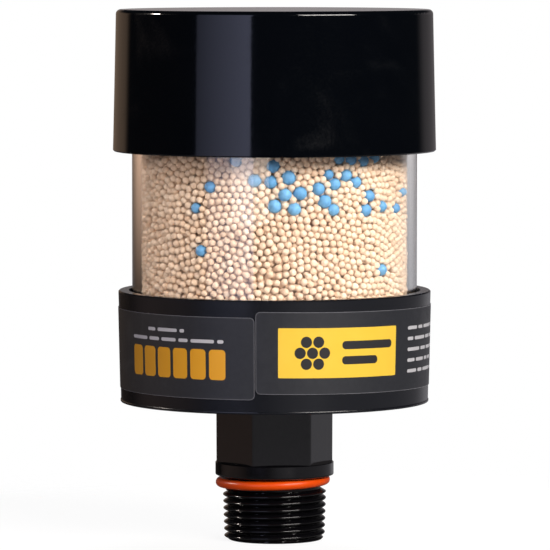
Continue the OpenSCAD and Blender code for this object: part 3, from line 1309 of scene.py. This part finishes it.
@dataclass
class Studio:
    """Floor, world, lamps and camera: a bright wall behind the object and a dim room in front of it."""

    camera_distance: float = 1.595
    camera_height: float = 0.1946
    aim_height: float = 0.0858
    lens_mm: float = 323.0
    sensor_mm: float = 36.0
    side_shift: float = 0.0009
    clip_span: Span = (0.05, 50.0)
    floor_radius: float = 0.22
    floor_segments: int = 96
    fade_span: Span = (0.132, 0.2156)
    paper_colour: str = "#707070"
    paper_glow: str = "#f2f2f2"
    backdrop_colour: str = "#ffffff"
    room_colour: str = "#1c1d20"
    behind_span: Span = (0.55, 0.75)
    low_span: Span = (0.3, 0.1)
    table_span: Span = (-0.03, -0.08)
    wall_colours: Stops = (
        (-0.8, "#1d1917"), (-0.72, "#97806d"), (-0.2, "#84705f"), (0.0, "#a29c9d"), (0.2, "#746f71"),
    )
    glass_colours: Stops = ((-0.5, "#f0c4a8"), (-0.1, "#806a5c"), (0.0, "#d4cecf"), (0.5, "#e8e2e3"))
    table_colours: Stops = (
        (-0.97, "#806e67"), (-0.75, "#110f0e"), (-0.3, "#2a2523"),
        (0.1, "#908e93"), (0.5, "#b2b0b4"), (0.7, "#8f8d92"),
    )

    def camera(self) -> None:
        """Set the camera in front of the object, a little above it."""
        data = bpy.data.cameras.new("camera")
        data.lens = self.lens_mm
        data.sensor_width = self.sensor_mm
        data.shift_x = self.side_shift
        data.clip_start, data.clip_end = self.clip_span
        holder = bpy.data.objects.new("camera", data)
        holder.location = (0, -self.camera_distance, self.camera_height)
        sight = Vector((0, 0, self.aim_height)) - holder.location
        holder.rotation_euler = sight.to_track_quat("-Z", "Y").to_euler()
        bpy.context.scene.collection.objects.link(holder)
        bpy.context.scene.camera = holder

    def from_left_to_right(self, tree: NodeTree, across: NodeSocket, stops: Stops) -> NodeSocket:
        """Colours that change from left to right round the object.

        Args:
            tree: The world's nodes.
            across: Sideways part of the direction, from -1 at the left to 1 at the right.
            stops: Sideways parts and their colours.

        Returns:
            The colour's socket.
        """
        share = add_node(tree, "MapRange", {"From Min": -1.0}, {"Value": across})
        ramp = add_node(tree, "ValToRGB", links={"Fac": share.outputs[0]})
        marks = ramp.color_ramp.elements
        marks.remove(marks[1])
        marks[0].color = linear(stops[0][1])
        for part, colour in stops:
            marks.new((part + 1) / 2).color = linear(colour)
        return ramp.outputs["Color"]

    def world(self) -> None:
        """White to the camera; for light and reflections a pale wall, a dim room in front and a table."""
        world = bpy.data.worlds.new("studio")
        world.use_nodes = True
        bpy.context.scene.world = world
        tree = world.node_tree
        tree.nodes.clear()
        direction = add_node(tree, "TexCoord").outputs["Generated"]
        axes = add_node(tree, "SeparateXYZ", links={"Vector": direction})
        behind, low_down, below = [
            add_node(
                tree, "MapRange", {"From Min": start, "From Max": full}, {"Value": axes.outputs[axis]},
                interpolation_type="SMOOTHSTEP",
            ).outputs[0]
            for axis, (start, full) in (("Y", self.behind_span), ("Z", self.low_span), ("Z", self.table_span))
        ]
        in_gloss, in_glass, table = [
            self.from_left_to_right(tree, axes.outputs["X"], colours)
            for colours in (self.wall_colours, self.glass_colours, self.table_colours)
        ]
        on_wall = add_node(tree, "Math", links={0: behind, 1: low_down}, operation="MULTIPLY")
        path = add_node(tree, "LightPath")
        wall = add_node(
            tree, "Mix", data_type="RGBA",
            links={SHARE: path.outputs["Is Transmission Ray"], COLOUR_A: in_gloss, COLOUR_B: in_glass},
        )
        room = add_node(
            tree, "Mix", {COLOUR_A: linear(self.room_colour)},
            {SHARE: on_wall.outputs[0], COLOUR_B: wall.outputs[COLOUR_OUT]}, data_type="RGBA",
        )
        all_round = add_node(
            tree, "Mix", data_type="RGBA",
            links={SHARE: below, COLOUR_A: room.outputs[COLOUR_OUT], COLOUR_B: table},
        )
        around = add_node(tree, "Background", {"Strength": 1.0}, {"Color": all_round.outputs[COLOUR_OUT]})
        backdrop = add_node(tree, "Background", {"Color": linear(self.backdrop_colour), "Strength": 1.0})
        seen = path.outputs["Is Camera Ray"]
        mixed = add_node(tree, "MixShader", links={0: seen, 1: around.outputs[0], 2: backdrop.outputs[0]})
        add_node(tree, "OutputWorld", links={"Surface": mixed.outputs[0]})

    def floor(self) -> None:
        """A white disc that takes the object's shadow, fades out at its rim and hides nothing from below."""
        mesh = bmesh.new()
        bmesh.ops.create_circle(mesh, cap_ends=True, segments=self.floor_segments, radius=self.floor_radius)
        data = bpy.data.meshes.new("floor")
        mesh.to_mesh(data)
        mesh.free()
        floor = bpy.data.objects.new("floor", data)
        bpy.context.scene.collection.objects.link(floor)
        material = bpy.data.materials.new("white_paper")
        material.use_nodes = True
        tree = material.node_tree
        tree.nodes.clear()
        where = add_node(tree, "TexCoord").outputs["Object"]
        from_middle = add_node(tree, "VectorMath", links={0: where}, operation="LENGTH")
        fade = add_node(
            tree, "MapRange", {"From Min": self.fade_span[0], "From Max": self.fade_span[1]},
            {"Value": from_middle.outputs["Value"]}, interpolation_type="SMOOTHSTEP",
        )
        below = add_node(tree, "NewGeometry").outputs["Backfacing"]
        unseen = add_node(tree, "Math", links={0: fade.outputs[0], 1: below}, operation="MAXIMUM")
        paper = add_node(tree, "BsdfDiffuse", {"Color": linear(self.paper_colour)})
        seen = add_node(tree, "LightPath").outputs["Is Camera Ray"]
        glow = add_node(tree, "Emission", {"Color": linear(self.paper_glow)}, {"Strength": seen})
        lit = add_node(tree, "AddShader", links={0: paper.outputs[0], 1: glow.outputs[0]})
        gone = add_node(tree, "BsdfTransparent")
        mixed = add_node(
            tree, "MixShader", links={0: unseen.outputs[0], 1: lit.outputs[0], 2: gone.outputs[0]}
        )
        add_node(tree, "OutputMaterial", links={"Surface": mixed.outputs[0]})
        data.materials.append(material)

    def lamps(self) -> None:
        """Hang the lamps: a key on the right, a dim card and a side lamp on the left, and two fills."""
        target = Vector((0, 0, self.aim_height))
        lamps = [
            SoftBox(
                "key", azimuth=40, elevation=27, distance=1.6, width=1.1, height=0.5, power=27,
                colour="#fff9f4",
            ),
            SoftBox(
                "card", azimuth=-36.5, elevation=12, distance=1.2, width=0.88, height=0.76, power=3.2,
                colour="#d3d8ff", dim_edge=0.3,
            ),
            SoftBox(
                "side", azimuth=-99.5, elevation=25, distance=1.6, width=0.16, height=0.16, power=12,
                colour="#fff2e8", on_dull=False,
            ),
            SoftBox(
                "front_fill", azimuth=-20, elevation=8, distance=1.6, width=0.9, height=0.6, power=6.5,
                colour="#fff0e6", in_gloss=False,
            ),
            SoftBox(
                "back_fill", azimuth=165, elevation=40, distance=1.8, width=0.9, height=0.6, power=20,
                colour="#ffffff", in_gloss=False,
            ),
        ]
        for lamp in lamps:
            lamp.build(target)

    def build(self) -> None:
        """Set up the whole studio."""
        bpy.context.scene.view_settings.view_transform = "Standard"
        self.camera()
        self.world()
        self.floor()
        self.lamps()


def main() -> None:
    """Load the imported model, dress it, and set it in the studio."""
    logging.basicConfig(level=logging.INFO, format="%(name)s: %(message)s")
    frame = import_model()
    nodes = frame["nodes"]
    _, stud_high = box_mm("threaded_stud")
    cup_low, cup_high = box_mm("base_cup")
    cap_low, _ = box_mm("top_cap")
    bed_low, bed_high = box_mm("desiccant_bed")
    _, pipe_high = box_mm("standpipe")
    Studio().build()
    Housing(nodes).build()
    ThreadedStud(flange_r=stud_high[0], hex_top_z=cup_low[2], top_z=stud_high[2]).build()
    LabelWrap(rim_r=cup_high[0], rim_z=cup_high[2]).build()
    fill = BeadFill(
        wall_r=bed_high[0],
        core_r=pipe_high[0] + CLEARANCE,
        low_z=bed_low[2],
        high_z=bed_high[2],
        window_low_z=cup_high[2],
        window_high_z=cap_low[2],
    )
    fill.build(nodes["indicator_beads"])
    FilterStack(spigot_r=ThreadedStud.spigot_r, pipe_r=pipe_high[0]).build()


if __name__ == "__main__":
    main()
